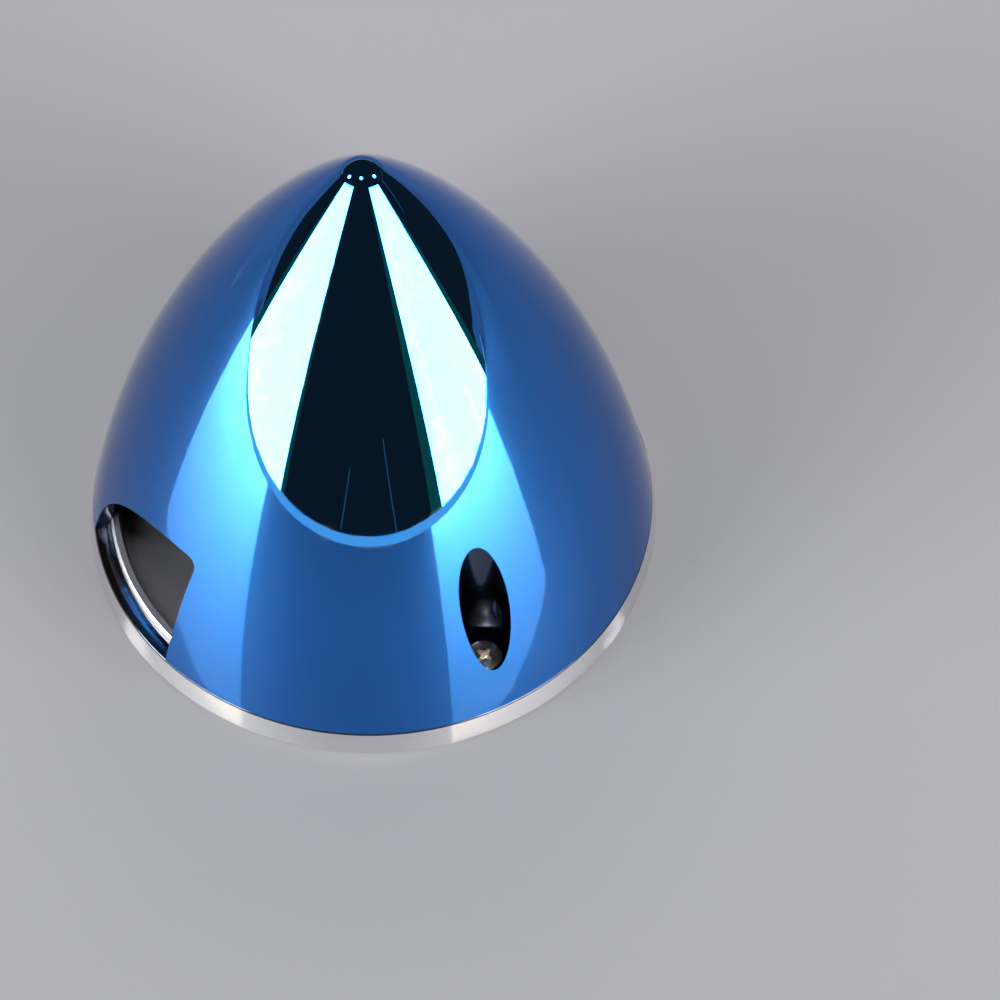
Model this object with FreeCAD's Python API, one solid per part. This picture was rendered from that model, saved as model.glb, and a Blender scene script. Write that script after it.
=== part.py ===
import FreeCAD, Part
import math
import os

from FreeCAD import Vector

# Propeller spinner for a two-blade model aircraft propeller, in millimetres.
# Z runs along the propeller shaft and points at the nose. The origin is the centre
# of the flat rear face. The blades leave along X and the cone screws stand along Y.

# Outer form: one circular arc carries the back plate's rim and the cone's flank, and
# runs tangent into the rounded nose
base_diameter = 63.5
flank_arc_radius = 121.4
nose_height = 60.4          # rear face to the tip
nose_radius = 3.0

# Back plate
rim_height = 3.1            # rear face to the seat of the cone
rim_edge_break = 0.25
seam_break = 0.12           # edge break on each side of the seam with the cone
register_height = 0.9       # register ring above the cone's seat
register_width = 0.85
register_clearance = 0.2    # radial, between the register ring and the cone's bore
register_edge_break = 0.2
floor_height = 2.5
floor_corner_radius = 0.5
hub_radius = 11.5
hub_height = 5.2
hub_root_radius = 1.0
hub_edge_break = 0.3
bore_radius = 5.56
bore_edge_break = 0.4
relief_depth = 0.9
relief_inner_radius = 13.0
relief_corner_radius = 0.6
rim_land_width = 8.25       # flat ring outside the relief, which the spinner stands on

# Cone
wall_thickness = 1.7
nose_solid = 12.0           # solid metal behind the tip
cavity_corner_radius = 2.5
bore_lead_in = 0.3

# Blade cut-outs: a straight side at the blade's leading edge, and an arc that falls
# from the top to the seat on the trailing side
cutout_lead = 9.39
cutout_trail = 9.76
cutout_top = 19.15          # above the rear face
cutout_arc_radius = 18.34
cutout_corner_radius = 1.2

# Cone screws and their pockets
screw_inset = 4.77          # base radius to the screw's axis
pocket_radius = 2.76
lug_wall = 1.35
lug_gap = 0.3               # between the lug's foot and the plate's pad
head_seat_height = 6.5      # above the rear face
shank_clearance = 0.2
thread_clearance = 0.05
pad_radius = 3.3
head_radius = 1.95
head_height = 1.3
head_edge_radius = 0.25
shank_radius = 1.0
shank_length = 6.0
shank_end_break = 0.3
recess_length = 2.1
recess_width = 0.55
recess_depth = 0.75

base_radius = base_diameter / 2.0
screw_pitch_radius = base_radius - screw_inset
relief_outer_radius = base_radius - rim_land_width
nose_centre_height = nose_height - nose_radius
register_top = rim_height + register_height
lug_foot_height = register_top + lug_gap
AXIS = Vector(0.0, 0.0, 1.0)


def flank_arc_centre():
    """Radius and height of the flank arc's centre: through the base, tangent to the nose."""
    to_nose = flank_arc_radius - nose_radius
    span = math.hypot(base_radius, nose_centre_height)
    along = (flank_arc_radius ** 2 - to_nose ** 2 + span ** 2) / (2.0 * span)
    sag = math.sqrt(flank_arc_radius ** 2 - along ** 2)
    centre_r = base_radius - (along * base_radius + sag * nose_centre_height) / span
    centre_z = (along * nose_centre_height - sag * base_radius) / span
    return centre_r, centre_z


def nose_foot():
    """Radius and height at which the flank runs into the rounded nose."""
    centre_r, centre_z = flank_arc_centre()
    scale = nose_radius / (flank_arc_radius - nose_radius)
    return -centre_r * scale, nose_centre_height + (nose_centre_height - centre_z) * scale


def flank_radius(height, inset=0.0):
    """Radius of the flank, or of the surface inset from it, at a height."""
    centre_r, centre_z = flank_arc_centre()
    reach = flank_arc_radius - inset
    return centre_r + math.sqrt(reach ** 2 - (height - centre_z) ** 2)


def at(radius, height):
    """Point of a half section, drawn in the XZ plane."""
    return Vector(radius, 0.0, height)


def line(start, end):
    return Part.LineSegment(start, end).toShape()


def flank_edge(low, high, inset=0.0):
    """Arc of the flank between two heights, as an edge of a half section."""
    middle = (low + high) / 2.0
    start = at(flank_radius(low, inset), low)
    through = at(flank_radius(middle, inset), middle)
    end = at(flank_radius(high, inset), high)
    return Part.Arc(start, through, end).toShape()


def revolve(edges):
    """Solid of revolution about Z from the closed half section."""
    face = Part.Face(Part.Wire(edges))
    return face.revolve(Vector(0.0, 0.0, 0.0), AXIS, 360.0)


def polyline(points):
    edges = []
    for start, end in zip(points, points[1:]):
        edges.append(line(start, end))
    return edges


def cylinder(radius, low, high, x=0.0, y=0.0):
    return Part.makeCylinder(radius, high - low, Vector(x, y, low), AXIS)


def circle_edges(solid, radius, height):
    """Full circular edges of a turned solid at one radius and height."""
    found = []
    for edge in solid.Edges:
        curve = edge.Curve
        if not isinstance(curve, Part.Circle):
            continue
        if abs(curve.Radius - radius) < 1e-4 and abs(curve.Center.z - height) < 1e-4:
            found.append(edge)
    return found


def screw_places():
    """Axis positions of the two cone screws, front one first."""
    return {"front": -screw_pitch_radius, "rear": screw_pitch_radius}


def backplate_body():
    """Turned back plate: rim, seat, register ring, floor, hub and rear relief."""
    register_outer = flank_radius(rim_height, wall_thickness) - register_clearance
    register_inner = register_outer - register_width
    rim_low = rim_edge_break
    rim_high = rim_height - seam_break
    points = [
        at(flank_radius(rim_high), rim_high),
        at(flank_radius(rim_height) - seam_break, rim_height),
        at(register_outer, rim_height),
        at(register_outer, register_top - register_edge_break),
        at(register_outer - register_edge_break, register_top),
        at(register_inner, register_top),
        at(register_inner, floor_height),
        at(hub_radius, floor_height),
        at(hub_radius, hub_height - hub_edge_break),
        at(hub_radius - hub_edge_break, hub_height),
        at(bore_radius + bore_edge_break, hub_height),
        at(bore_radius, hub_height - bore_edge_break),
        at(bore_radius, bore_edge_break),
        at(bore_radius + bore_edge_break, 0.0),
        at(relief_inner_radius, 0.0),
        at(relief_inner_radius, relief_depth),
        at(relief_outer_radius, relief_depth),
        at(relief_outer_radius, 0.0),
        at(base_radius - rim_edge_break, 0.0),
        at(flank_radius(rim_low), rim_low),
    ]
    edges = polyline(points)
    edges.append(flank_edge(rim_low, rim_high))
    body = revolve(edges)
    body = body.makeFillet(floor_corner_radius, circle_edges(body, register_inner, floor_height))
    body = body.makeFillet(hub_root_radius, circle_edges(body, hub_radius, floor_height))
    relief_corners = circle_edges(body, relief_inner_radius, relief_depth)
    relief_corners += circle_edges(body, relief_outer_radius, relief_depth)
    return body.makeFillet(relief_corner_radius, relief_corners)


def make_backplate():
    """Back plate with the two tapped pads that take the cone screws."""
    plate = backplate_body()
    register_outer = flank_radius(rim_height, wall_thickness) - register_clearance
    within_register = cylinder(register_outer, 0.0, register_top - register_edge_break)
    for y in screw_places().values():
        pad = cylinder(pad_radius, rim_height / 2.0, register_top - register_edge_break, y=y)
        plate = plate.fuse(pad.common(within_register))
    for y in screw_places().values():
        hole = cylinder(shank_radius + thread_clearance, -1.0, register_top + 1.0, y=y)
        plate = plate.cut(hole)
    return plate.removeSplitter()


def cone_body():
    """Outer form of the cone, from its seat on the plate to the tip of the nose."""
    flank_low = rim_height + seam_break
    seat_edge = at(flank_radius(rim_height) - seam_break, rim_height)
    foot_r, foot_z = nose_foot()
    halfway = (math.atan2(foot_z - nose_centre_height, foot_r) + math.pi / 2.0) / 2.0
    dome_middle = at(
        nose_radius * math.cos(halfway), nose_centre_height + nose_radius * math.sin(halfway)
    )
    tip = at(0.0, nose_height)
    base_centre = at(0.0, rim_height)
    edges = [
        line(base_centre, seat_edge),
        line(seat_edge, at(flank_radius(flank_low), flank_low)),
        flank_edge(flank_low, foot_z),
        Part.Arc(at(foot_r, foot_z), dome_middle, tip).toShape(),
        line(tip, base_centre),
    ]
    return revolve(edges)


def cone_cavity():
    """Turned hollow of the cone, with a lead-in for the register ring."""
    top = nose_height - nose_solid
    lead_top = rim_height + bore_lead_in
    mouth = at(flank_radius(lead_top, wall_thickness) + bore_lead_in, rim_height)
    edges = [
        line(at(0.0, rim_height), mouth),
        line(mouth, at(flank_radius(lead_top, wall_thickness), lead_top)),
        flank_edge(lead_top, top, wall_thickness),
        line(at(flank_radius(top, wall_thickness), top), at(0.0, top)),
        line(at(0.0, top), at(0.0, rim_height)),
    ]
    hollow = revolve(edges)
    top_edge = circle_edges(hollow, flank_radius(top, wall_thickness), top)
    return hollow.makeFillet(cavity_corner_radius, top_edge)


def blade_cutout():
    """Tool for the cut-out on the -X side, seen along X as the blade's root section."""
    reach = base_radius + 1.0
    arc_centre_z = cutout_top - cutout_arc_radius
    below = max(rim_height - arc_centre_z, 0.0)
    half_width_at_seat = math.sqrt(cutout_arc_radius ** 2 - below ** 2)
    arc_centre_y = cutout_trail - half_width_at_seat
    disc = Part.makeCylinder(
        cutout_arc_radius, reach, Vector(-reach, arc_centre_y, arc_centre_z), Vector(1.0, 0.0, 0.0)
    )
    low = min(arc_centre_z, 0.0) - 1.0
    skirt = Part.makeBox(
        reach, 2.0 * cutout_arc_radius, arc_centre_z - low,
        Vector(-reach, arc_centre_y - cutout_arc_radius, low),
    )
    keep = Part.makeBox(
        reach, cutout_lead + arc_centre_y + cutout_arc_radius + 1.0, cutout_top - low + 1.0,
        Vector(-reach, -cutout_lead, low),
    )
    tool = disc.fuse(skirt).removeSplitter().common(keep)
    corner_z = arc_centre_z + math.sqrt(cutout_arc_radius ** 2 - (cutout_lead + arc_centre_y) ** 2)
    corners = []
    for edge in tool.Edges:
        box = edge.BoundBox
        if box.XLength < 0.9 * reach:
            continue
        if abs(box.YMin + cutout_lead) < 1e-3 and abs(box.ZMax - corner_z) < 1e-3:
            corners.append(edge)
    return tool.makeFillet(cutout_corner_radius, corners)


def make_cone():
    """Cone: turned shell with screw lugs, drilled pockets and two blade cut-outs."""
    hollow = cone_cavity()
    for y in screw_places().values():
        lug = cylinder(pocket_radius + lug_wall, lug_foot_height, nose_height, y=y)
        hollow = hollow.cut(lug)
    cone = cone_body().cut(hollow)
    for y in screw_places().values():
        pocket = cylinder(pocket_radius, head_seat_height, nose_height, y=y)
        shank_hole = cylinder(shank_radius + shank_clearance, rim_height, nose_height, y=y)
        cone = cone.cut(pocket.fuse(shank_hole))
    cutout = blade_cutout()
    cone = cone.cut(cutout)
    opposite = cutout.copy()
    opposite.rotate(Vector(0.0, 0.0, 0.0), AXIS, 180.0)
    return cone.cut(opposite).removeSplitter()


def make_screw(y):
    """Cheese-head machine screw with a cross recess, seated in its pocket."""
    top = head_seat_height + head_height
    end = head_seat_height - shank_length
    head = cylinder(head_radius, head_seat_height, top)
    head = head.makeFillet(head_edge_radius, circle_edges(head, head_radius, top))
    shank = cylinder(shank_radius, end, head_seat_height)
    shank = shank.makeChamfer(shank_end_break, circle_edges(shank, shank_radius, end))
    screw = head.fuse(shank)
    for turn in (0.0, 90.0):
        slot = Part.makeBox(
            recess_length, recess_width, recess_depth,
            Vector(-recess_length / 2.0, -recess_width / 2.0, top - recess_depth),
        )
        slot.rotate(Vector(0.0, 0.0, 0.0), AXIS, turn)
        screw = screw.cut(slot)
    screw = screw.removeSplitter()
    screw.translate(Vector(0.0, y, 0.0))
    return screw


def build():
    parts = {"backplate": make_backplate(), "cone": make_cone()}
    for place, y in screw_places().items():
        parts["cone_screw_" + place] = make_screw(y)
    return parts


os.makedirs("parts", exist_ok=True)
for name, shape in build().items():
    solid = shape.Solids[0] if len(shape.Solids) == 1 else shape
    solid.exportStep("parts/" + name + ".step")
    print(name, "solids", len(shape.Solids), "volume", round(shape.Volume, 1), "valid", shape.isValid())
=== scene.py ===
import logging
import math
from collections.abc import Callable
from dataclasses import dataclass
from enum import Enum

import bpy
import bmesh
from mathutils import Matrix, Vector


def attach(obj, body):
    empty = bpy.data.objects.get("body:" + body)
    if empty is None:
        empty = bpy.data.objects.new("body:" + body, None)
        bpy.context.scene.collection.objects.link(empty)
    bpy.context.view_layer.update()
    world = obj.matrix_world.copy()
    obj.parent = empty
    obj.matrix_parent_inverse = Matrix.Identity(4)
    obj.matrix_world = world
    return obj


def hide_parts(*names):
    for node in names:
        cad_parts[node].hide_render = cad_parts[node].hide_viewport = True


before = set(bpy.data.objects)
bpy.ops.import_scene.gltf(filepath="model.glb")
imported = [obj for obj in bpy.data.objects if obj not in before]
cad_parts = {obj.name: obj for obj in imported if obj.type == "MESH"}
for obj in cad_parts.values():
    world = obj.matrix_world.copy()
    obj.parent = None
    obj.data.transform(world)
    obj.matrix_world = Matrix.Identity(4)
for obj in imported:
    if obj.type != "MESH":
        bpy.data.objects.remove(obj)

# Looks of a two-blade propeller spinner: a mirror-polished blue cone on a polished back
# plate, on a grey table in a dark room with two tall soft lights. Metres throughout.

MM = 0.001
MM_PER_METRE = 1000.0
TOUCH = 1e-6
LOG = logging.getLogger("spinner")

FLOAT = "NodeSocketFloat"
VECTOR = "NodeSocketVector"
NODE_SPACING = 180
Object = bpy.types.Object
Material = bpy.types.Material
NodeTree = bpy.types.NodeTree
Node = bpy.types.Node
Socket = bpy.types.NodeSocket
Colour = tuple[float, ...]
Fed = Socket | float | Colour

# A noise pattern's values lie mostly in this span.
NOISE_SPAN = (0.3, 0.7)
NOISE_DETAIL = 2.0
DRIFT_SCALE = 90.0
MARK_STRENGTH = 0.5

# A face lies level where its direction's share along the axis is over LEVEL. The end of a
# turned bar has more than SIDE_CORNERS corners. Mirror images of images lie past FIRST_IMAGE.
LEVEL = 0.99
SIDE_CORNERS = 8
FIRST_IMAGE = 1.5


class Slot(Enum):
    """Material slots of the record."""

    BLUE = "blue_anodised"
    POLISHED = "polished_aluminium"
    STEEL = "screw_steel"


PIECES = {
    "cone": Slot.BLUE,
    "backplate": Slot.POLISHED,
    "cone_screw_front": Slot.STEEL,
    "cone_screw_rear": Slot.STEEL,
}


class Seen(Enum):
    """Which rays meet a piece of the studio."""

    BY_ALL = "all"
    BY_MIRRORS = "glossy"


class Image(Enum):
    """Mirror images that a glowing sheet shows in."""

    ANY = "any"
    DIRECT = "one mirror"
    SECOND = "two mirrors, such as the table seen in the cone"


class Side(Enum):
    """Side of the studio, as a sign to the camera's right."""

    LEFT = -1
    RIGHT = 1


class Part(Enum):
    """Parts of a mesh that a test can pick out."""

    EDGES = "EDGE"
    FACES = "FACE"


# Node helpers


class Tree:
    """A short way to lay out and join shader nodes."""

    def __init__(self, tree: NodeTree) -> None:
        """Keep the tree.

        Args:
            tree: the node tree of a material, a world or a group.
        """
        self.tree = tree
        self.column = 0

    def add(self, kind: str, **settings: object) -> Node:
        """Add a node.

        Args:
            kind: the node's type, such as "ShaderNodeMath".
            settings: attributes to set on it.

        Returns:
            The new node.
        """
        node = self.tree.nodes.new(kind)
        node.location = (self.column * NODE_SPACING, 0)
        self.column += 1
        for name, value in settings.items():
            setattr(node, name, value)
        return node

    def join(self, out: Socket, into: Socket) -> None:
        """Link an output to an input.

        Args:
            out: the output.
            into: the input.
        """
        self.tree.links.new(out, into)

    def feed(self, value: Fed, socket: Socket) -> None:
        """Join a socket, or write a plain value, into an input.

        Args:
            value: the socket or the plain value.
            socket: the input.
        """
        if isinstance(value, Socket):
            self.join(value, socket)
        else:
            socket.default_value = value

    def fill(self, node: Node, values: dict[str, Fed]) -> None:
        """Join or write values into a node's inputs.

        Args:
            node: the node.
            values: a socket or a plain value for each input's name.
        """
        for name, value in values.items():
            self.feed(value, node.inputs[name])

    def math(self, operation: str, *values: Fed) -> Socket:
        """Add a math node.

        Args:
            operation: the operation's name.
            values: sockets or plain numbers for its inputs.

        Returns:
            Its output.
        """
        node = self.add("ShaderNodeMath", operation=operation)
        for socket, value in zip(node.inputs, values):
            self.feed(value, socket)
        return node.outputs[0]

    def length(self, first: Socket, second: Socket) -> Socket:
        """Take the root of the sum of two squares.

        Args:
            first: one side.
            second: the side square to it.

        Returns:
            The distance across both.
        """
        squares = [self.math("MULTIPLY", side, side) for side in (first, second)]
        return self.math("SQRT", self.math("ADD", *squares))

    def vector(self, *shares: Fed) -> Socket:
        """Point a unit vector along three numbers.

        Args:
            shares: its shares along X, Y and Z.

        Returns:
            The unit vector.
        """
        whole = self.add("ShaderNodeCombineXYZ")
        self.fill(whole, dict(zip("XYZ", shares)))
        unit = self.add("ShaderNodeVectorMath", operation="NORMALIZE")
        self.join(whole.outputs[0], unit.inputs[0])
        return unit.outputs[0]

    def between(self, value: Fed, low: float, high: float, start: float, end: float) -> Socket:
        """Map a value smoothly from one range to another.

        Args:
            value: the socket that is read.
            low: value that gives start.
            high: value that gives end.
            start: result at low.
            end: result at high.

        Returns:
            The mapped value.
        """
        node = self.add("ShaderNodeMapRange", interpolation_type="SMOOTHSTEP")
        self.fill(node, {
            "Value": value, "From Min": low, "From Max": high, "To Min": start, "To Max": end,
        })
        return node.outputs["Result"]

    def pick(self, factor: Fed, first: Fed, second: Fed, kind: str = "RGBA") -> Socket:
        """Mix two colours, vectors or numbers.

        Args:
            factor: 0 for the first, 1 for the second.
            first: a value or socket.
            second: a value or socket.
            kind: "RGBA", "VECTOR" or "FLOAT".

        Returns:
            The mixed value.
        """
        node = self.add("ShaderNodeMix", data_type=kind)
        start, out = {"FLOAT": (2, 0), "VECTOR": (4, 1), "RGBA": (6, 2)}[kind]
        self.feed(factor, node.inputs[0])
        self.feed(first, node.inputs[start])
        self.feed(second, node.inputs[start + 1])
        return node.outputs[out]

    def blend(self, factor: Socket, first: Socket, second: Socket) -> Socket:
        """Mix two shaders.

        Args:
            factor: 0 for the first, 1 for the second.
            first: a shader's output.
            second: a shader's output.

        Returns:
            The mixed shader's output.
        """
        mix = self.add("ShaderNodeMixShader")
        for out, into in zip((factor, first, second), mix.inputs):
            self.join(out, into)
        return mix.outputs[0]

    def mottle(self, scale: float, low: float, high: float) -> Socket:
        """Vary a value in soft patches over the object.

        Args:
            scale: patches per metre.
            low: the least value.
            high: the greatest value.

        Returns:
            The varied value.
        """
        noise = self.add("ShaderNodeTexNoise")
        place = self.add("ShaderNodeTexCoord").outputs["Object"]
        self.fill(noise, {"Vector": place, "Scale": scale, "Detail": NOISE_DETAIL})
        return self.between(noise.outputs["Fac"], *NOISE_SPAN, low, high)


def new_group(
    name: str, inputs: dict[str, float], outputs: dict[str, str],
) -> tuple[Tree, Node, Node]:
    """Start a shader node group.

    Args:
        name: the group's name.
        inputs: name and default of each number that it takes.
        outputs: name and socket type of each value that it gives.

    Returns:
        Its tree, its input node and its output node.
    """
    group = bpy.data.node_groups.new(name, "ShaderNodeTree")
    for label, default in inputs.items():
        socket = group.interface.new_socket(label, in_out="INPUT", socket_type=FLOAT)
        socket.default_value = default
    for label, kind in outputs.items():
        group.interface.new_socket(label, in_out="OUTPUT", socket_type=kind)
    tree = Tree(group)
    return tree, tree.add("NodeGroupInput"), tree.add("NodeGroupOutput")


def object_place(tree: Tree) -> tuple[Socket, Node, Socket]:
    """Read the place on the object.

    Args:
        tree: the tree that reads it.

    Returns:
        The place, the node that splits it, and the distance from the axis.
    """
    place = tree.add("ShaderNodeTexCoord").outputs["Object"]
    split = tree.add("ShaderNodeSeparateXYZ")
    tree.join(place, split.inputs[0])
    return place, split, tree.length(split.outputs["X"], split.outputs["Y"])


def turned_marks() -> NodeTree:
    """Make the fine rings that a lathe tool leaves, by distance along the axis and from it.

    Returns:
        A group with inputs Pitch (in millimetres) and Waver, and outputs Height, Sheen,
        Radius (distance from the axis) and Rise (distance along it).
    """
    given_values = {"Pitch": 0.12, "Waver": 0.3}
    given_out = {"Height": FLOAT, "Sheen": FLOAT, "Radius": FLOAT, "Rise": FLOAT}
    tree, given, out = new_group("turned_marks", given_values, given_out)
    place, split, radius = object_place(tree)
    travel = tree.math("ADD", radius, split.outputs["Z"])
    travel_mm = tree.math("MULTIPLY", travel, MM_PER_METRE)
    turns = tree.math("DIVIDE", travel_mm, given.outputs["Pitch"])
    noise = tree.add("ShaderNodeTexNoise", noise_dimensions="1D")
    tree.fill(noise, {"W": turns, "Scale": 1.0, "Detail": NOISE_DETAIL})
    drift = tree.add("ShaderNodeTexNoise", noise_dimensions="3D")
    tree.fill(drift, {"Vector": place, "Scale": DRIFT_SCALE})
    wander = tree.math("MULTIPLY", drift.outputs["Fac"], given.outputs["Waver"])
    tree.fill(out, {
        "Height": tree.math("ADD", noise.outputs["Fac"], wander),
        "Sheen": noise.outputs["Fac"], "Radius": radius, "Rise": split.outputs["Z"],
    })
    return tree.tree


def true_form(shape: "Flank") -> NodeTree:
    """Give the exact surface direction of the turned outside, with softly rounded edges.

    Args:
        shape: the flank arc and the nose.

    Returns:
        A group with output Skin, 1 on the turned outside and 0 on cut and inner faces, and
        output Normal, which runs from the turned form to the face's own over the edge break.
    """
    tree, _, out = new_group("true_form", {}, {"Skin": FLOAT, "Normal": VECTOR})
    _, split, radius = object_place(tree)
    x, y, z = split.outputs["X"], split.outputs["Y"], split.outputs["Z"]
    centre_r, centre_z = shape.centre
    out_r = tree.math("SUBTRACT", radius, centre_r)
    out_z = tree.math("SUBTRACT", z, centre_z)
    flank_depth = tree.math("SUBTRACT", shape.radius, tree.length(out_r, out_z))
    share = tree.math("DIVIDE", out_r, radius)
    flank_x, flank_y = tree.math("MULTIPLY", x, share), tree.math("MULTIPLY", y, share)
    flank_way = tree.vector(flank_x, flank_y, out_z)
    up = tree.math("SUBTRACT", z, shape.nose_centre)
    nose_depth = tree.math("SUBTRACT", shape.nose_radius, tree.length(radius, up))
    on_nose = tree.math("GREATER_THAN", z, shape.nose_foot)
    depth = tree.pick(on_nose, flank_depth, nose_depth, "FLOAT")
    way = tree.pick(on_nose, flank_way, tree.vector(x, y, up), "VECTOR")
    skin = tree.between(depth, shape.skin_depth, shape.edge_break, 1.0, 0.0)
    own = tree.add("ShaderNodeNewGeometry").outputs["Normal"]
    blended = tree.add("ShaderNodeVectorMath", operation="NORMALIZE")
    tree.join(tree.pick(skin, own, way, "VECTOR"), blended.inputs[0])
    tree.fill(out, {"Skin": skin, "Normal": blended.outputs[0]})
    return tree.tree


# Shapes


@dataclass(frozen=True)
class Flank:
    """The one arc that carries the rim and the cone's flank, and the nose it runs into.

    On the turned skin a point may lie skin_depth under the arc; at edge_break it counts as
    cut or inner.
    """

    radius: float = 121.4 * MM
    base_radius: float = 31.75 * MM
    nose_radius: float = 3.0 * MM
    nose_height: float = 60.4 * MM
    skin_depth: float = 0.035 * MM
    edge_break: float = 0.14 * MM

    @property
    def nose_centre(self) -> float:
        """Height of the nose's centre."""
        return self.nose_height - self.nose_radius

    @property
    def centre(self) -> tuple[float, float]:
        """Distance from the axis, and height, of the arc's centre."""
        to_nose = self.radius - self.nose_radius
        span = math.hypot(self.base_radius, self.nose_centre)
        along = (self.radius ** 2 - to_nose ** 2 + span ** 2) / (2 * span)
        sag = math.sqrt(self.radius ** 2 - along ** 2)
        centre_r = self.base_radius - (along * self.base_radius + sag * self.nose_centre) / span
        return centre_r, (along * self.nose_centre - sag * self.base_radius) / span

    @property
    def nose_foot(self) -> float:
        """Height at which the flank runs into the nose."""
        share = self.nose_radius / (self.radius - self.nose_radius)
        return self.nose_centre + (self.nose_centre - self.centre[1]) * share


def select_none() -> None:
    """Leave nothing selected."""
    bpy.ops.object.select_all(action="DESELECT")


def take_up(obj: Object) -> None:
    """Select one object alone and make it the active one.

    Args:
        obj: the object.
    """
    select_none()
    obj.select_set(True)
    bpy.context.view_layer.objects.active = obj


def settle(obj: Object) -> None:
    """Write an object's place into its mesh, so that it sits at the origin.

    Args:
        obj: the object.
    """
    take_up(obj)
    bpy.ops.object.transform_apply(location=True, rotation=True, scale=True)


def added(name: str) -> Object:
    """Name the primitive that was added last.

    Args:
        name: its name.

    Returns:
        The primitive.
    """
    obj = bpy.context.active_object
    obj.name = name
    obj.data.name = name
    return obj


def turned_bar(name: str, sides: int, radius: float, length: float, middle: float) -> Object:
    """Turn a plain cylinder on the axis.

    Args:
        name: its name.
        sides: steps round it.
        radius: its radius.
        length: its length.
        middle: height of its middle.

    Returns:
        The cylinder.
    """
    select_none()
    bpy.ops.mesh.primitive_cylinder_add(
        vertices=sides, radius=radius, depth=length, location=(0.0, 0.0, middle),
    )
    bar = added(name)
    settle(bar)
    return bar


def pick_out(obj: Object, part: Part, wanted: Callable[..., bool]) -> None:
    """Open edit mode with just the wanted faces or edges selected.

    Args:
        obj: the mesh object.
        part: whether faces or edges are picked.
        wanted: says for one face or edge whether it is wanted.
    """
    take_up(obj)
    bpy.ops.object.mode_set(mode="EDIT")
    bpy.ops.mesh.select_mode(type=part.value)
    bpy.ops.mesh.select_all(action="DESELECT")
    work = bmesh.from_edit_mesh(obj.data)
    for piece in work.faces if part is Part.FACES else work.edges:
        piece.select_set(bool(wanted(piece)))
    bmesh.update_edit_mesh(obj.data)


def round_ring(obj: Object, height: float, width: float, steps: int) -> None:
    """Round the edge of a turned piece at one height.

    Args:
        obj: the turned piece.
        height: the edge's height.
        width: how far the rounding reaches.
        steps: its steps.
    """
    pick_out(obj, Part.EDGES, lambda edge: all(
        abs(corner.co.z - height) < TOUCH for corner in edge.verts
    ))
    bpy.ops.mesh.bevel(offset=width, segments=steps, affect="EDGES")
    bpy.ops.object.mode_set(mode="OBJECT")


def carve(obj: Object, tool: Object) -> None:
    """Cut a tool out of an object and delete the tool.

    Args:
        obj: the object that is cut.
        tool: the closed shape that is taken out.
    """
    take_up(obj)
    cut = obj.modifiers.new("cut", "BOOLEAN")
    cut.operation = "DIFFERENCE"
    cut.solver = "EXACT"
    cut.object = tool
    bpy.ops.object.modifier_apply(modifier=cut.name)
    bpy.data.objects.remove(tool, do_unlink=True)


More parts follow.
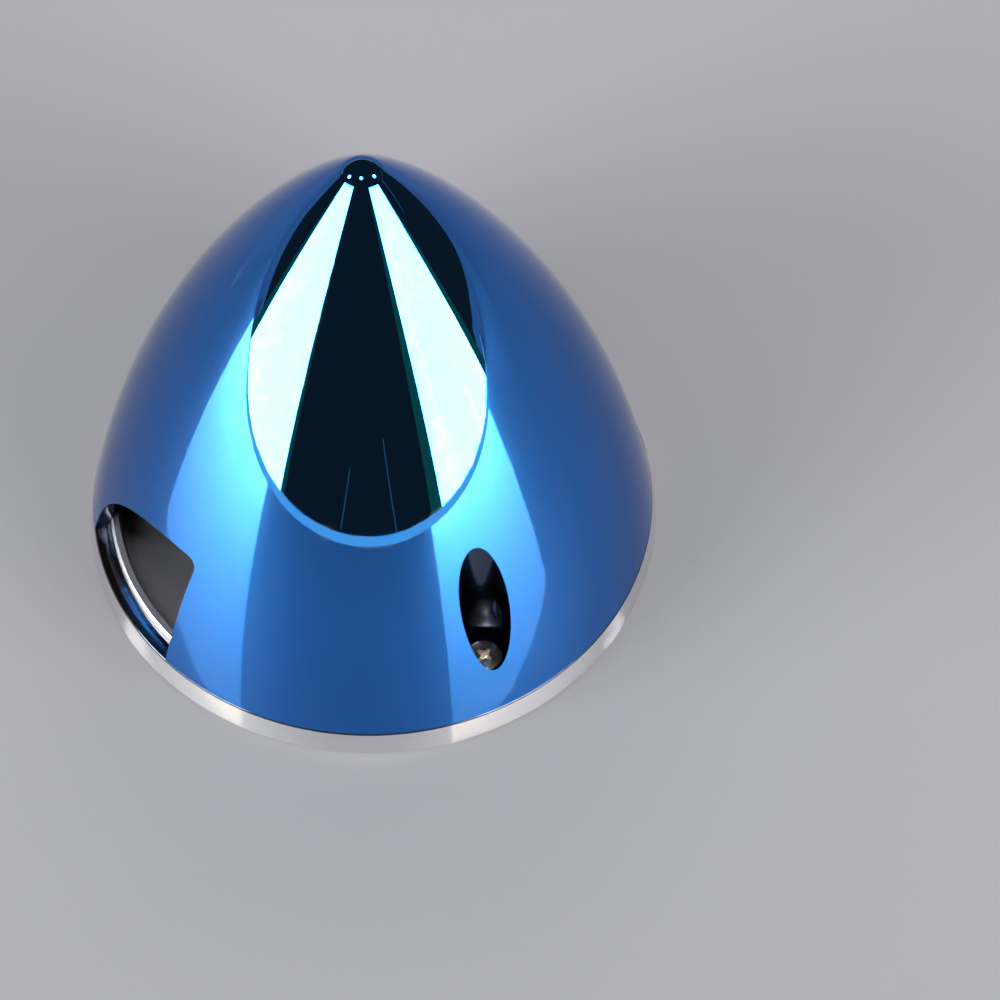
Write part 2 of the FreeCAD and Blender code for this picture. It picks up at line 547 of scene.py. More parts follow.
@dataclass
class ConeScrew:
    """Cheese-head machine screw with a tapered cross recess and a cut thread."""

    pitch_radius: float = 26.98 * MM
    seat: float = 6.5 * MM
    rear_turn: float = 155.0

    head_radius: float = 1.95 * MM
    head_height: float = 1.3 * MM
    head_sides: int = 96
    head_edge: float = 0.25 * MM
    head_edge_steps: int = 5
    crown: float = 0.07 * MM
    crown_steps: int = 3
    crown_inset: float = 0.38 * MM
    soft_edge: float = 0.03 * MM
    soft_edge_steps: int = 2
    soft_from: float = 35.0
    smooth_below: float = 20.0

    recess_depth: float = 0.85 * MM
    tool_margin: float = 0.3 * MM
    wing_length: float = 2.1 * MM
    wing_width: float = 0.5 * MM
    wing_turns: tuple[float, float] = (24.0, 114.0)
    wing_taper: float = 0.5
    well_foot: float = 0.12 * MM
    well_mouth: float = 0.5 * MM
    well_drop: float = 0.12 * MM
    well_sides: int = 32

    shank_length: float = 6.0 * MM
    shank_overlap: float = 0.2 * MM
    shank_sides: int = 48
    end_break: float = 0.3 * MM
    end_break_steps: int = 2
    root_radius: float = 0.78 * MM
    root_overlap: float = 0.02 * MM
    crest_radius: float = 1.0 * MM
    thread_pitch: float = 0.4 * MM
    thread_start: float = 0.35 * MM
    unthreaded: float = 0.9 * MM
    thread_steps: int = 32

    @property
    def top(self) -> float:
        """Height of the head's flat top."""
        return self.seat + self.head_height

    def head(self) -> Object:
        """Turn the head, with its rounded edge and a low crown.

        Returns:
            The head, without its recess.
        """
        middle = self.seat + self.head_height / 2
        head = turned_bar("screw_head", self.head_sides, self.head_radius, self.head_height, middle)
        round_ring(head, self.top, self.head_edge, self.head_edge_steps)
        pick_out(head, Part.FACES, lambda face: (
            face.normal.z > LEVEL and len(face.verts) > SIDE_CORNERS
        ))
        for _ in range(self.crown_steps):
            bpy.ops.mesh.inset(thickness=self.crown_inset, depth=self.crown / self.crown_steps)
        bpy.ops.object.mode_set(mode="OBJECT")
        return head

    def wing(self, turn: float) -> Object:
        """Shape one bar of the cross recess, narrower and shorter at its foot.

        Args:
            turn: the bar's direction, in degrees.

        Returns:
            The bar, as a tool.
        """
        select_none()
        deep = self.recess_depth + self.tool_margin
        middle = self.top + self.tool_margin - deep / 2
        bpy.ops.mesh.primitive_cube_add(size=1.0, location=(0.0, 0.0, middle))
        bar = added("recess_bar")
        bar.scale = (self.wing_length, self.wing_width, deep)
        bar.rotation_euler = (0.0, 0.0, math.radians(turn))
        settle(bar)
        pick_out(bar, Part.FACES, lambda face: face.normal.z < -LEVEL)
        bpy.ops.transform.resize(value=(self.wing_taper, self.wing_taper, 1.0))
        bpy.ops.object.mode_set(mode="OBJECT")
        return bar

    def centre_well(self) -> Object:
        """Shape the pointed well in the middle of the recess.

        Returns:
            The well, as a tool.
        """
        select_none()
        deep = self.recess_depth + self.tool_margin
        middle = self.top + self.tool_margin - deep / 2 - self.well_drop
        bpy.ops.mesh.primitive_cone_add(
            vertices=self.well_sides, radius1=self.well_foot, radius2=self.well_mouth,
            depth=deep, location=(0.0, 0.0, middle),
        )
        well = added("recess_well")
        settle(well)
        return well

    def core(self) -> Object:
        """Turn the shank's core, with a broken edge at its end.

        Returns:
            The core, which reaches a little into the head.
        """
        long = self.shank_length + self.shank_overlap
        middle = self.seat + self.shank_overlap - long / 2
        radius = self.root_radius + self.root_overlap
        core = turned_bar("screw_core", self.shank_sides, radius, long, middle)
        round_ring(core, self.seat - self.shank_length, self.end_break, self.end_break_steps)
        return core

    def thread(self) -> Object:
        """Wind the thread's ridge round the shank.

        Returns:
            The ridge, closed at both ends.
        """
        select_none()
        start = self.seat - self.shank_length + self.thread_start
        deep = self.crest_radius - self.root_radius
        bpy.ops.mesh.primitive_circle_add(
            vertices=3, radius=deep * 2 / 3, rotation=(math.pi / 2, 0.0, 0.0),
        )
        ridge = added("screw_thread")
        settle(ridge)
        tip = max(ridge.data.vertices, key=lambda corner: corner.co.length)
        turn = math.atan2(tip.co.z, tip.co.x)
        ridge.data.transform(Matrix.Rotation(turn, 4, "Y"))
        ridge.data.transform(Matrix.Translation((self.root_radius + deep / 3, 0.0, start)))
        wind = ridge.modifiers.new("wind", "SCREW")
        wind.axis = "Z"
        wind.screw_offset = self.thread_pitch
        wind.iterations = int((self.shank_length - self.unthreaded) / self.thread_pitch)
        wind.steps = wind.render_steps = self.thread_steps
        bpy.ops.object.modifier_apply(modifier=wind.name)
        bpy.ops.object.mode_set(mode="EDIT")
        bpy.ops.mesh.select_all(action="SELECT")
        bpy.ops.mesh.fill_holes(sides=3)
        bpy.ops.mesh.select_all(action="SELECT")
        bpy.ops.mesh.normals_make_consistent(inside=False)
        bpy.ops.object.mode_set(mode="OBJECT")
        return ridge

    def finished_head(self) -> Object:
        """Cut the recess into the head and soften its edges.

        Returns:
            The head, smooth where its faces meet at a low angle.
        """
        head = self.head()
        for tool in (*map(self.wing, self.wing_turns), self.centre_well()):
            carve(head, tool)
        take_up(head)
        soften = head.modifiers.new("soften", "BEVEL")
        soften.width = self.soft_edge
        soften.segments = self.soft_edge_steps
        soften.limit_method = "ANGLE"
        soften.angle_limit = math.radians(self.soft_from)
        bpy.ops.object.modifier_apply(modifier=soften.name)
        bpy.ops.object.shade_smooth_by_angle(angle=math.radians(self.smooth_below))
        return head

    def build(self, steel: Material) -> None:
        """Model one screw and its twin, and put them in the two pockets.

        Args:
            steel: the screws' finish.
        """
        head = self.finished_head()
        core = self.core()
        thread = self.thread()
        select_none()
        for part in (core, thread, head):
            part.select_set(True)
        bpy.context.view_layer.objects.active = head
        bpy.ops.object.join()
        head.data.materials.clear()
        twin = head.copy()
        twin.data = head.data.copy()
        bpy.context.scene.collection.objects.link(twin)
        for screw, place, across, turned in (
            (head, "front", -self.pitch_radius, 0.0),
            (twin, "rear", self.pitch_radius, self.rear_turn),
        ):
            turn = Matrix.Rotation(math.radians(turned), 4, "Z")
            screw.data.transform(Matrix.Translation((0.0, across, 0.0)) @ turn)
            screw.name = "turned_screw_" + place
            screw.data.name = screw.name
            dress(screw, steel)
            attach(screw, "root")
            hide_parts("cone_screw_" + place)
            LOG.info("%s modelled", screw.name)


# Finishes


def fresh_material(
    name: str, kind: str = "ShaderNodeBsdfPrincipled",
) -> tuple[Material, Tree, Node]:
    """Start a node material with one shader.

    Args:
        name: the material's name.
        kind: the shader's node type.

    Returns:
        The material, its tree and its shader.
    """
    made = bpy.data.materials.new(name)
    made.use_nodes = True
    made.node_tree.nodes.clear()
    tree = Tree(made.node_tree)
    surface = tree.add("ShaderNodeOutputMaterial").inputs["Surface"]
    shader = tree.add(kind)
    tree.join(shader.outputs[0], surface)
    return made, tree, shader


def turned_metal(
    name: str, marks: NodeTree, form: NodeTree, pitch: float, depth: float,
) -> tuple[Material, Tree, Node, Node, Socket]:
    """Start a metal with the lathe's rings laid over the turned form's surface direction.

    Args:
        name: the material's name.
        marks: the turned marks' group.
        form: the group of the turned outside's skin and direction.
        pitch: the rings' pitch in millimetres.
        depth: the rings' depth.

    Returns:
        The material, its tree, its shader, the node of the rings, and the skin.
    """
    made, tree, shader = fresh_material(name)
    outside = tree.add("ShaderNodeGroup", node_tree=form)
    lathe = tree.add("ShaderNodeGroup", node_tree=marks)
    tree.fill(lathe, {"Pitch": pitch})
    bump = tree.add("ShaderNodeBump")
    tree.fill(bump, {
        "Distance": depth, "Strength": MARK_STRENGTH,
        "Height": lathe.outputs["Height"], "Normal": outside.outputs["Normal"],
    })
    tree.fill(shader, {"Metallic": 1.0, "Normal": bump.outputs["Normal"]})
    return made, tree, shader, lathe, outside.outputs["Skin"]


@dataclass(frozen=True)
class AnodisedBlue:
    """Mirror-polished aluminium under a clear blue anodised layer; its inner and cut faces get
    painted shade, a near-black colour in place of the blue.
    """

    colour: Colour = (0.010, 0.152, 0.55, 1.0)
    inner_painted_shade: Colour = (0.032, 0.048, 0.09, 1.0)
    edge_tint: Colour = (0.55, 0.62, 0.8, 1.0)
    polish: float = 0.02
    inner_roughness: float = 0.16
    layer: float = 0.5
    layer_roughness: float = 0.02
    layer_ior: float = 1.45
    mark_pitch: float = 0.16
    mark_depth: float = 0.0003 * MM

    def material(self, marks: NodeTree, form: NodeTree) -> Material:
        """Build the material.

        Args:
            marks: the turned marks' group.
            form: the group of the turned outside's skin and direction.

        Returns:
            The blue anodised material.
        """
        made, tree, shader, _, skin = turned_metal(
            "blue_anodised_finish", marks, form, self.mark_pitch, self.mark_depth,
        )
        # Painted shade: the inner and cut faces take a near-black colour, standing in for the dark
        # of the recesses.
        tree.fill(shader, {
            "Base Color": tree.pick(skin, self.inner_painted_shade, self.colour),
            "Roughness": tree.between(skin, 0.0, 1.0, self.inner_roughness, self.polish),
            "Specular Tint": self.edge_tint,
            "Coat Weight": self.layer,
            "Coat Roughness": self.layer_roughness,
            "Coat IOR": self.layer_ior,
        })
        return made


@dataclass(frozen=True)
class PolishedAluminium:
    """Turned bare aluminium: polished rim, duller machined faces inside darkened by painted shade,
    and painted shade on the seam on top.

    The seam is the narrow step under the cone's edge, above seam_height and beyond seam_from,
    painted dark as the shade in its gap.
    """

    colour: Colour = (0.80, 0.81, 0.83, 1.0)
    inner_painted_shade: Colour = (0.40, 0.40, 0.435, 1.0)
    seam_painted_shade: Colour = (0.06, 0.065, 0.08, 1.0)
    seam_height: float = 2.98 * MM
    seam_from: float = 30.4 * MM
    polish: float = 0.07
    machined: float = 0.34
    polished_from: float = 29.4 * MM
    fade_up: float = 0.04 * MM
    fade_out: float = 0.2 * MM
    coarsest_grain: float = 1.5
    mark_pitch: float = 0.1
    mark_depth: float = 0.008 * MM

    def material(self, marks: NodeTree, form: NodeTree) -> Material:
        """Build the material.

        Args:
            marks: the turned marks' group.
            form: the group of the turned outside's skin and direction.

        Returns:
            The polished aluminium material.
        """
        made, tree, shader, lathe, skin = turned_metal(
            "polished_aluminium_finish", marks, form, self.mark_pitch, self.mark_depth,
        )
        rise, radius = lathe.outputs["Rise"], lathe.outputs["Radius"]
        # Painted shade: a dark line on the narrow step under the cone's edge, where the gap holds
        # shade.
        upper = tree.between(rise, self.seam_height - self.fade_up, self.seam_height, 0.0, 1.0)
        outer = tree.between(radius, self.seam_from - self.fade_out, self.seam_from, 0.0, 1.0)
        # Painted shade: the inner faces take a darker colour, standing in for the dark inside the
        # cone.
        plain = tree.pick(skin, self.inner_painted_shade, self.colour)
        dull = tree.between(
            radius, self.polished_from - self.fade_out, self.polished_from,
            self.machined, self.polish,
        )
        grain = tree.between(lathe.outputs["Sheen"], *NOISE_SPAN, 1.0, self.coarsest_grain)
        tree.fill(shader, {
            "Base Color": tree.pick(tree.math("MULTIPLY", upper, outer), plain, self.seam_painted_shade),
            "Roughness": tree.math("MULTIPLY", dull, grain),
        })
        return made


@dataclass(frozen=True)
class PlatedSteel:
    """Bright plated screw steel."""

    colour: Colour = (0.90, 0.84, 0.72, 1.0)
    polish: float = 0.18
    dullest: float = 1.3
    patches: float = 900.0

    def material(self) -> Material:
        """Build the material.

        Returns:
            The plated steel material.
        """
        made, tree, shader = fresh_material("screw_steel_finish")
        roughness = tree.mottle(self.patches, self.polish, self.polish * self.dullest)
        tree.fill(shader, {"Base Color": self.colour, "Metallic": 1.0, "Roughness": roughness})
        return made


@dataclass(frozen=True)
class GreyTable:
    """Smooth grey table top with a thin gloss."""

    colour: Colour = (0.45, 0.45, 0.477, 1.0)
    roughness: tuple[float, float] = (0.5, 0.56)
    patches: float = 6.0
    gloss: float = 0.37
    gloss_roughness: float = 0.03
    sheen: float = 0.25
    seen_plain: float = 0.9

    def material(self) -> Material:
        """Build the table's material.

        Returns:
            A finish whose gloss shows in the part's mirror, and barely when it is seen itself.
        """
        made, tree, shader = fresh_material("grey_table_finish")
        seen = tree.add("ShaderNodeLightPath").outputs["Is Camera Ray"]
        kept = tree.math("SUBTRACT", 1.0, tree.math("MULTIPLY", seen, self.seen_plain))
        tree.fill(shader, {
            "Base Color": self.colour,
            "Roughness": tree.mottle(self.patches, *self.roughness),
            "Specular IOR Level": tree.math("MULTIPLY", kept, self.sheen),
            "Coat Weight": tree.math("MULTIPLY", kept, self.gloss),
            "Coat Roughness": self.gloss_roughness,
        })
        return made


@dataclass(frozen=True)
class Glow:
    """Finish that only gives light.

    after_bounce is the share of its strength for light that dull surfaces pass on. In mirror
    images other than its own the finish is clear.
    """

    name: str
    colour: Colour
    strength: float
    after_bounce: float = 1.0
    image: Image = Image.ANY

    def material(self) -> Material:
        """Build the material.

        Returns:
            The emissive material.
        """
        made, tree, shader = fresh_material(self.name, "ShaderNodeEmission")
        tree.fill(shader, {"Color": (*self.colour, 1.0), "Strength": self.strength})
        if self.after_bounce < 1.0:
            bounces = tree.add("ShaderNodeLightPath").outputs["Diffuse Depth"]
            passed_on = self.strength * self.after_bounce
            level = tree.between(bounces, 0.0, 1.0, self.strength, passed_on)
            tree.join(level, shader.inputs["Strength"])
        if self.image is not Image.ANY:
            mirrors = tree.add("ShaderNodeLightPath").outputs["Glossy Depth"]
            test = "LESS_THAN" if self.image is Image.DIRECT else "GREATER_THAN"
            shown = tree.math(test, mirrors, FIRST_IMAGE)
            clear = tree.add("ShaderNodeBsdfTransparent")
            mixed = tree.blend(shown, clear.outputs[0], shader.outputs[0])
            tree.join(mixed, made.node_tree.nodes["Material Output"].inputs["Surface"])
        return made


MIRROR_STRENGTH = 30.0
BOUNCE_SHARE = 0.2
PANEL_GLOW = Glow("panel_glow", (0.93, 0.98, 1.0), MIRROR_STRENGTH, BOUNCE_SHARE, Image.DIRECT)
PANEL_IN_TABLE = Glow("panel_in_table", (1.15, 0.98, 0.8), 24.0, BOUNCE_SHARE, Image.SECOND)
PANEL_BORDER = Glow("panel_border", (0.07, 0.27, 0.10), 1.0, 1.0, Image.DIRECT)
SMALL_LAMP_GLOW = Glow("small_lamp_glow", (1.0, 1.0, 1.0), MIRROR_STRENGTH, 0.0)
# Painted highlight: the table's lit front edge, given as a glowing strip.
LIP_GLOW = Glow("lip_glow", (1.0, 0.98, 0.78), 1.85)
# Painted highlight: the light stands glow as lit poles, though they are no lamps.
LIT_POLE_GLOW = Glow("lit_pole_glow", (0.95, 0.75, 0.5), 0.55)
DARK_CLOTH = Glow("dark_cloth", (0.075, 0.047, 0.032), 1.0)
HEM_GLOW = Glow("edge_glow", (1.0, 0.42, 0.26), 5.0)
PALE_WALL = Glow("pale_wall", (0.50, 0.45, 0.44), 1.0)


def dress(obj: Object, material: Material) -> None:
    """Give all of a mesh one material.

    Args:
        obj: the mesh object.
        material: the material for every slot.
    """
    if not obj.material_slots:
        obj.data.materials.append(material)
    for slot in obj.material_slots:
        slot.material = material


# Studio

# Inner and outer foot of each light panel, to the camera's right and towards it, as shares
# of the panel's height.
PANEL_FEET = {
    Side.LEFT: ((-0.748, 0.944), (-2.138, 0.339)),
    Side.RIGHT: ((0.682, 1.030), (2.095, 0.542)),
}

# Azimuth and elevation of the three small lamps, and top and foot of the two poles. These and
# the edges below are degrees, azimuths counted from the camera's side to its right.
SMALL_LAMPS = ((-92.9, 43.8), (-9.1, 77.1), (97.5, 45.3))
POLES = (
    ("right_pole", (9.9, 4.8), (13.0, -7.3)),
    ("left_pole", (-7.2, 1.1), (-10.5, -6.9)),
)

# Lower edge of the dark cloth on the right, and on the left with its azimuths turned over.
# The pale walls hang under it, from the step that is named here.
OPEN_BACK = tuple((turn, 12.5) for turn in range(144, 181, 12))
RIGHT_EDGE = ((70.0, -3.6), (77.0, -0.7), (84.0, 1.2), (85.0, 12.5), *OPEN_BACK)
LEFT_EDGE = (
    (70.0, -3.6), (77.0, -0.7), (90.0, 0.5), (107.0, 0.8), (112.0, 4.0), (120.0, 12.0),
    *OPEN_BACK,
)
RIGHT_WALL_FROM = 3
LEFT_WALL_FROM = 2

# Lower edge of the near screen at the right.
SCREEN_EDGE = (
    (83.0, 1.1), (92.0, 0.6), (100.0, -0.5), (107.0, -1.6), (113.0, -2.6), (124.0, -3.4),
    (132.0, -3.4), (138.0, 3.0), (144.0, 12.4),
)


@dataclass
class PhotoCamera:
    """The camera at the photograph's viewing angle."""

    azimuth: float = -28.3207
    elevation: float = 56.1438
    roll: float = 1.0669
    distance: float = 391.567 * MM
    lens: float = 125.2595
    sensor: float = 36.0
    nearest: float = 0.01
    farthest: float = 50.0
    target: tuple[float, float, float] = (13.1393 * MM, -5.4481 * MM, 0.0)

    def axes(self) -> tuple[Vector, Vector, Vector]:
        """Work out how the camera stands.

        Returns:
            Its right, up and back directions.
        """
        a, e, r = (math.radians(v) for v in (self.azimuth, self.elevation, self.roll))
        back = Vector((math.sin(a) * math.cos(e), -math.cos(a) * math.cos(e), math.sin(e)))
        level = Vector((math.cos(a), math.sin(a), 0.0))
        upright = back.cross(level)
        right = level * math.cos(r) + upright * math.sin(r)
        up = upright * math.cos(r) - level * math.sin(r)
        return right, up, back

    def ahead(self) -> tuple[Vector, Vector]:
        """Work out the level directions that the studio is laid out by.

        Returns:
            To the camera's right, and towards it.
        """
        a = math.radians(self.azimuth)
        return Vector((math.cos(a), math.sin(a), 0.0)), Vector((math.sin(a), -math.cos(a), 0.0))

    def place(self) -> None:
        """Put the camera in the scene and make it the active one."""
        data = bpy.data.cameras.new("photo_camera")
        data.lens, data.sensor_width = self.lens, self.sensor
        data.clip_start, data.clip_end = self.nearest, self.farthest
        camera = bpy.data.objects.new("photo_camera", data)
        bpy.context.scene.collection.objects.link(camera)
        right, up, back = self.axes()
        spot = Vector(self.target) + back * self.distance
        turn = Matrix((right, up, back)).transposed().to_4x4()
        camera.matrix_world = Matrix.Translation(spot) @ turn
        bpy.context.scene.camera = camera


@dataclass
class Studio:
    """Table, dark room and two tall soft lights, laid out from the camera's side."""

    camera: PhotoCamera
    seen_from: float = 0.04

    table_front: float = 0.208
    table_reach: float = 3.0
    lip_width: float = 0.044

    light_height: float = 0.50
    light_foot: float = -0.30
    second_turn: float = -6.2
    left_border: float = 2.0
    right_border: float = 5.0
    outer_border: float = 4.0
    lamp_strength: float = 7.2

    back_strength: float = 1.3
    back_size: tuple[float, float] = (0.8, 0.2)
    back_place: tuple[float, float] = (-0.37, 0.25)
    back_aim: float = -0.13

    nose_seen: float = 0.058
    small_lamp_half: float = 6.0
    small_lamp_sides: int = 16
    pole_away: float = 1.5
    pole_half: float = 0.2

    cloth_away: float = 2.6
    cloth_top: float = 3.0
    cloth_foot: float = 2.5
    room_share: float = 1.1
    screen_away: float = 0.6
    screen_top: float = 14.0
    hem: tuple[float, float] = (12.2, 13.6)
    hem_gap: float = 0.02
    wall_away: float = 1.4
    wall_foot: float = -1.64

    lit_air: Colour = (0.36, 0.36, 0.373, 1.0)
    shown_air: Colour = (0.45, 0.45, 0.47, 1.0)

    def spot(self, right: float, near: float, height: float = 0.0) -> Vector:
        """Find a point from the axis.

        Args:
            right: distance to the camera's right.
            near: distance towards the camera.
            height: height above the table.

        Returns:
            The point.
        """
        to_right, to_near = self.camera.ahead()
        return to_right * right + to_near * near + Vector((0.0, 0.0, height))

    def bearing(self, azimuth: float, elevation: float, away: float) -> Vector:
        """Find the point at a direction from the polished flank.

        Args:
            azimuth: degrees to the right of the camera's side.
            elevation: degrees above the level.
            away: level distance from the axis.

        Returns:
            The point.
        """
        turn = math.radians(azimuth)
        rise = self.seen_from + away * math.tan(math.radians(elevation))
        return self.spot(away * math.sin(turn), away * math.cos(turn), rise)

    def sheet(
        self, name: str, points: list[Vector], material: Material,
        seen: Seen = Seen.BY_MIRRORS, faces: list[list[int]] | None = None,
    ) -> None:
        """Add a sheet to the stage and say which rays meet it.

        Args:
            name: the sheet's name.
            points: its corners, in order where it has one face.
            material: its finish.
            seen: which rays meet it.
            faces: the corners of each face, where it has several.
        """
        mesh = bpy.data.meshes.new(name)
        mesh.from_pydata([tuple(p) for p in points], [], faces or [list(range(len(points)))])
        obj = bpy.data.objects.new(name, mesh)
        bpy.context.scene.collection.objects.link(obj)
        dress(obj, material)
        if seen is Seen.BY_MIRRORS:
            for ray in ("camera", "diffuse", "shadow", "transmission"):
                setattr(obj, "visible_" + ray, False)

    def ribbon(
        self, name: str, edge: list[tuple[float, float, float]], away: float,
        material: Material,
    ) -> None:
        """Hang an upright band round the axis, seen in mirrors alone.

        Args:
            name: the band's name.
            edge: azimuth, lower elevation and upper elevation of each step, in degrees.
            away: level distance from the axis.
            material: its finish.
        """
        points, faces = [], []
        for azimuth, low, high in edge:
            points += [self.bearing(azimuth, low, away), self.bearing(azimuth, high, away)]
        for i in range(0, len(points) - 2, 2):
            faces.append([i, i + 2, i + 3, i + 1])
        self.sheet(name, points, material, faces=faces)

    def table(self) -> None:
        """Lay the table top, with its straight front edge, and a glowing strip seen in mirrors
        alone: a painted highlight of its lit lip.
        """
        reach, front = self.table_reach, self.table_front
        self.sheet("table_top", [
            self.spot(-reach, front), self.spot(reach, front),
            self.spot(reach, -reach), self.spot(-reach, -reach),
        ], GreyTable().material(), Seen.BY_ALL)
        lip = front + self.lip_width
        self.sheet("lip_highlight_strip", [
            self.spot(-reach, front), self.spot(-reach, lip),
            self.spot(reach, lip), self.spot(reach, front),
        ], LIP_GLOW.material())

    def panel_ends(self, side: Side, turn: float = 0.0) -> tuple[Vector, Vector]:
        """Find the feet of a light panel, on the table's level.

        Args:
            side: the panel's side.
            turn: degrees by which it is swung to the right about the axis.

        Returns:
            Its inner and outer foot, as steps to the camera's right and towards it.
        """
        h = self.light_height
        swing = Matrix.Rotation(-math.radians(turn), 2)
        inner, outer = (swing @ Vector((x * h, y * h)) for x, y in PANEL_FEET[side])
        return inner, outer

    def on_panel(self, side: Side, azimuth: float) -> Vector:
        """Find the point on a panel's line, or past its end, at an azimuth from the axis.

        Args:
            side: the panel's side.
            azimuth: degrees to the right of the camera's side.

        Returns:
            The point, as steps to the camera's right and towards it.
        """
        inner, outer = self.panel_ends(side)
        way = Vector((math.sin(math.radians(azimuth)), math.cos(math.radians(azimuth))))
        a = inner.x * way.y - inner.y * way.x
        b = outer.x * way.y - outer.y * way.x
        return inner + (outer - inner) * (a / (a - b))

    def upright(self, name: str, a: Vector, b: Vector, material: Material) -> None:
        """Stand an upright sheet between two feet, as tall as the light panels.

        Args:
            name: the sheet's name.
            a: one foot.
            b: the other foot.
            material: its finish.
        """
        foot, top = self.light_foot, self.light_height
        corners = [self.spot(*a, foot), self.spot(*b, foot), self.spot(*b, top), self.spot(*a, top)]
        self.sheet(name, corners, material)

    def lights(self) -> None:
        """Stand the two light panels with their dim borders, and the lamps for dull surfaces."""
        glow, again = PANEL_GLOW.material(), PANEL_IN_TABLE.material()
        border = PANEL_BORDER.material()
        for side, name in ((Side.LEFT, "left"), (Side.RIGHT, "right")):
            inner, outer = self.panel_ends(side)
            self.upright(name + "_panel", inner, outer, glow)
            again_ends = self.panel_ends(side, self.second_turn)
            self.upright(name + "_panel_in_table", *again_ends, again)
            self.panel_lamp(name + "_lamp", inner, outer)
            within = math.degrees(math.atan2(inner.x, inner.y))
            beyond = math.degrees(math.atan2(outer.x, outer.y))
            broad = self.left_border if side is Side.LEFT else self.right_border
            inner_edge = self.on_panel(side, within - side.value * broad)
            self.upright(name + "_inner_border", inner, inner_edge, border)
            outer_edge = self.on_panel(side, beyond + side.value * self.outer_border)
            self.upright(name + "_outer_border", outer, outer_edge, border)

    def lamp(
        self, name: str, middle: Vector, across: Vector, aim: Vector,
        size: tuple[float, float], glow: float,
    ) -> None:
        """Add an area lamp that lights dull surfaces and shows in no mirror.

        Args:
            name: the lamp's name.
            middle: its centre.
            across: direction of its width.
            aim: direction in which it shines.
            size: its width and height.
            glow: its brightness.
        """
        data = bpy.data.lights.new(name, "AREA")
        data.shape = "RECTANGLE"
        data.size, data.size_y = size
        data.energy = glow * math.pi * size[0] * size[1]
        lamp = bpy.data.objects.new(name, data)
        bpy.context.scene.collection.objects.link(lamp)
        back = -aim.normalized()
        wide = across.normalized()
        turn = Matrix((wide, back.cross(wide), back)).transposed().to_4x4()
        lamp.matrix_world = Matrix.Translation(middle) @ turn
        lamp.visible_glossy = False
        lamp.visible_camera = False

    def panel_lamp(self, name: str, inner: Vector, outer: Vector) -> None:
        """Add the lamp that stands in a panel's place.

        Args:
            name: the lamp's name.
            inner: the panel's inner foot.
            outer: the panel's outer foot.
        """
        a, b = self.spot(*inner), self.spot(*outer)
        across = b - a
        aim = across.cross(Vector((0.0, 0.0, 1.0)))
        if aim.dot(a) > 0:
            aim = -aim
        middle = (a + b) / 2 + Vector((0.0, 0.0, self.light_height / 2))
        size = (across.length, self.light_height)
        self.lamp(name, middle, across, aim, size, self.lamp_strength)

    def back_lamp(self) -> None:
        """Add the low soft lamp behind, which lifts the far part of the table."""
        across, _ = self.camera.ahead()
        middle = self.spot(0.0, *self.back_place)
        aim = self.spot(0.0, self.back_aim) - middle
        self.lamp("back_lamp", middle, across, aim, self.back_size, self.back_strength)

    def small_lamps(self) -> None:
        """Hang the three small lamps that make the dots on the nose."""
        glow = SMALL_LAMP_GLOW.material()
        reach = math.tan(math.radians(self.small_lamp_half))
        sides = self.small_lamp_sides
        steps = [math.tau * k / sides for k in range(sides)]
        for number, (azimuth, elevation) in enumerate(SMALL_LAMPS, start=1):
            turn, rise = math.radians(azimuth), math.radians(elevation)
            level = math.cos(rise)
            way = self.spot(math.sin(turn) * level, math.cos(turn) * level, math.sin(rise))
            across = self.spot(math.cos(turn), -math.sin(turn))
            up = way.cross(across)
            middle = Vector((0.0, 0.0, self.nose_seen)) + way
            ring = [middle + (across * math.cos(t) + up * math.sin(t)) * reach for t in steps]
            self.sheet("small_lamp_%d" % number, ring, glow)

    def light_stands(self) -> None:
        """Stand the two thin poles that show as lines between the panels: glowing sheets, painted
        highlights of lit light stands.
        """
        grey = LIT_POLE_GLOW.material()
        away, half = self.pole_away, self.pole_half
        for name, (top_turn, top_rise), (foot_turn, foot_rise) in POLES:
            self.sheet(name, [
                self.bearing(top_turn - half, top_rise, away),
                self.bearing(top_turn + half, top_rise, away),
                self.bearing(foot_turn + half, foot_rise, away),
                self.bearing(foot_turn - half, foot_rise, away),
            ], grey)

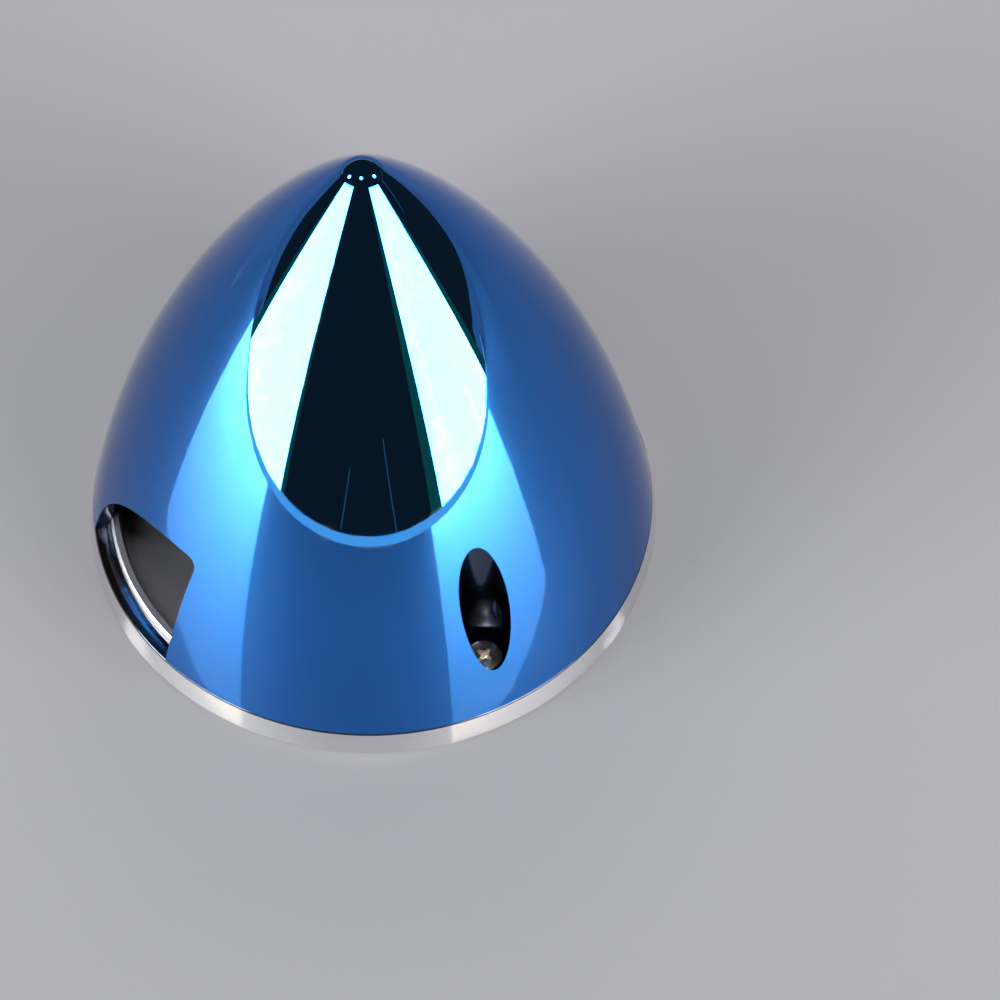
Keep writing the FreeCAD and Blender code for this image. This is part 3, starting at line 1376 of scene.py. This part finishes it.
    def dark_room(self) -> None:
        """Hang the dark cloth, the screen and the pale walls that the metal mirrors."""
        cloth = DARK_CLOTH.material()
        away, top, foot = self.cloth_away, self.cloth_top, self.cloth_foot
        roof = math.degrees(math.atan((top - self.seen_from) / away))
        cellar = -math.degrees(math.atan((foot + self.seen_from) / away))
        front = [(turn, cellar, roof) for turn in range(-68, 69, 8)]
        behind_right = [(a, e, roof) for a, e in RIGHT_EDGE]
        behind_left = [(-a, e, roof) for a, e in reversed(LEFT_EDGE)]
        self.ribbon("dark_cloth", behind_left + front + behind_right, away, cloth)
        screen = [(a, e, self.screen_top) for a, e in SCREEN_EDGE]
        self.ribbon("dark_screen", screen, self.screen_away, cloth)
        hem = [(turn, *self.hem) for turn in range(160, 246, 12)]
        self.ribbon("cloth_hem", hem, away - self.hem_gap, HEM_GLOW.material())
        pale = PALE_WALL.material()
        left_wall = [(-a, self.wall_foot, e) for a, e in LEFT_EDGE[LEFT_WALL_FROM:]]
        self.ribbon("left_wall", left_wall, self.wall_away, pale)
        right_wall = [(a, self.wall_foot, e) for a, e in RIGHT_EDGE[RIGHT_WALL_FROM:]]
        self.ribbon("right_wall", right_wall, self.wall_away, pale)
        wide = away * self.room_share
        for name, height in (("dark_ceiling", top), ("dark_floor", -foot)):
            self.sheet(name, [
                self.spot(-wide, wide, height), self.spot(wide, wide, height),
                self.spot(wide, -wide, height), self.spot(-wide, -wide, height),
            ], cloth)

    def air(self) -> None:
        """Set the pale backdrop that is seen, and the softer air that lights dull surfaces."""
        world = bpy.data.worlds.new("pale_backdrop")
        world.use_nodes = True
        tree = Tree(world.node_tree)
        soft = world.node_tree.nodes["Background"]
        soft.inputs["Color"].default_value = self.lit_air
        shown = tree.add("ShaderNodeBackground")
        shown.inputs["Color"].default_value = self.shown_air
        path = tree.add("ShaderNodeLightPath")
        seen = path.outputs["Is Camera Ray"]
        for kind in ("Is Glossy Ray", "Is Transmission Ray"):
            seen = tree.math("MAXIMUM", seen, path.outputs[kind])
        mixed = tree.blend(seen, soft.outputs[0], shown.outputs[0])
        tree.join(mixed, world.node_tree.nodes["World Output"].inputs["Surface"])
        bpy.context.scene.world = world

    def build(self) -> None:
        """Set up the whole studio."""
        self.table()
        self.lights()
        self.back_lamp()
        self.small_lamps()
        self.light_stands()
        self.dark_room()
        self.air()
        self.camera.place()
        bpy.context.scene.view_settings.view_transform = "Standard"


# Main


def main() -> None:
    """Dress the spinner's pieces, model its screws and set up the studio."""
    logging.basicConfig(level=logging.INFO, format="%(name)s: %(message)s")
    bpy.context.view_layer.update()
    select_none()
    marks = turned_marks()
    form = true_form(Flank())
    finishes = {
        Slot.BLUE: AnodisedBlue().material(marks, form),
        Slot.POLISHED: PolishedAluminium().material(marks, form),
        Slot.STEEL: PlatedSteel().material(),
    }
    for name, slot in PIECES.items():
        dress(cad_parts[name], finishes[slot])
        LOG.info("%s dressed", name)
    ConeScrew().build(finishes[Slot.STEEL])
    Studio(PhotoCamera()).build()
    LOG.info("studio set up")


if __name__ == "__main__":
    main()
